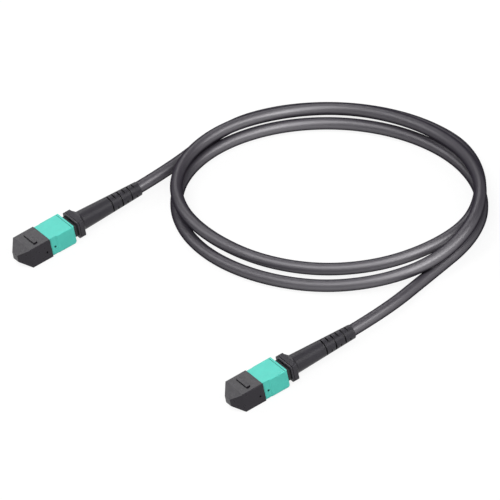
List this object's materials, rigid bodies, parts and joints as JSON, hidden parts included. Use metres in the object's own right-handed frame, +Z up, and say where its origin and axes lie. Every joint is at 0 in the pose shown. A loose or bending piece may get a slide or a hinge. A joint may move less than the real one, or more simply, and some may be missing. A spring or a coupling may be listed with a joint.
{
  "type": "mpo patch cable",
  "caption": "Round fibre-optic patch cable laid in loose turns, with a capped multi-fibre push-pull connector, sliding aqua housing and slotted strain-relief boot on each end.",
  "frame": {"origin": "on the surface that the cable lies on, at the middle of the box round the two connectors", "axes": "+X from the connectors' noses to their boots, +Y from one connector to the other, +Z up"},
  "size_m": [0.1672, 0.1553, 0.016],
  "materials": {
    "cable_jacket": "satin",
    "cap_plastic": "satin",
    "aqua_plastic": "satin",
    "plug_plastic": "satin",
    "ferrule_polymer": "fine ground",
    "ferrule_rubber": "matte",
    "fibre": "clear coated",
    "spring_steel": "drawn wire",
    "crimp_metal": "nickel plated",
    "boot_rubber": "satin"
  },
  "bodies": {
    "cable": {"cable_tail_a": "cable_jacket", "cable_turns": "cable_jacket", "cable_tail_b": "cable_jacket", "inner_housing_a": "plug_plastic", "spring_push_a": "plug_plastic", "crimp_ring_a": "crimp_metal", "strain_relief_boot_a": "boot_rubber", "fibre_ribbon_a": "fibre", "ferrule_spring_a": "spring_steel", "sleeve_spring_near_a": "spring_steel", "sleeve_spring_far_a": "spring_steel", "inner_housing_b": "plug_plastic", "spring_push_b": "plug_plastic", "crimp_ring_b": "crimp_metal", "strain_relief_boot_b": "boot_rubber", "fibre_ribbon_b": "fibre", "ferrule_spring_b": "spring_steel", "sleeve_spring_near_b": "spring_steel", "sleeve_spring_far_b": "spring_steel"},
    "cap_a": {"dust_cap_a": "cap_plastic"},
    "sleeve_a": {"outer_housing_a": "aqua_plastic"},
    "ferrule_a": {"ferrule_a": "ferrule_polymer", "pin_keeper_a": "ferrule_polymer", "ferrule_boot_a": "ferrule_rubber"},
    "cap_b": {"dust_cap_b": "cap_plastic"},
    "sleeve_b": {"outer_housing_b": "aqua_plastic"},
    "ferrule_b": {"ferrule_b": "ferrule_polymer", "pin_keeper_b": "ferrule_polymer", "ferrule_boot_b": "ferrule_rubber"}
  },
  "joints": [
    {"name": "cap_a_pull", "type": "slide", "parent": "cable", "child": "cap_a", "axis": [-1, 0, 0], "range_m": [0, 0.02]},
    {"name": "sleeve_a_slide", "type": "slide", "parent": "cable", "child": "sleeve_a", "axis": [1, 0, 0], "range_m": [0, 0.0018], "stiffness_N_per_m": 600, "springref_m": -0.003, "deforming": ["sleeve_spring_near_a", "sleeve_spring_far_a"]},
    {"name": "ferrule_a_press", "type": "slide", "parent": "cable", "child": "ferrule_a", "axis": [1, 0, 0], "range_m": [0, 0.0008], "stiffness_N_per_m": 3000, "springref_m": -0.002, "deforming": ["ferrule_spring_a", "fibre_ribbon_a"]},
    {"name": "cap_b_pull", "type": "slide", "parent": "cable", "child": "cap_b", "axis": [-1, 0, 0], "range_m": [0, 0.02]},
    {"name": "sleeve_b_slide", "type": "slide", "parent": "cable", "child": "sleeve_b", "axis": [1, 0, 0], "range_m": [0, 0.0018], "stiffness_N_per_m": 600, "springref_m": -0.003, "deforming": ["sleeve_spring_near_b", "sleeve_spring_far_b"]},
    {"name": "ferrule_b_press", "type": "slide", "parent": "cable", "child": "ferrule_b", "axis": [1, 0, 0], "range_m": [0, 0.0008], "stiffness_N_per_m": 3000, "springref_m": -0.002, "deforming": ["ferrule_spring_b", "fibre_ribbon_b"]}
  ]
}
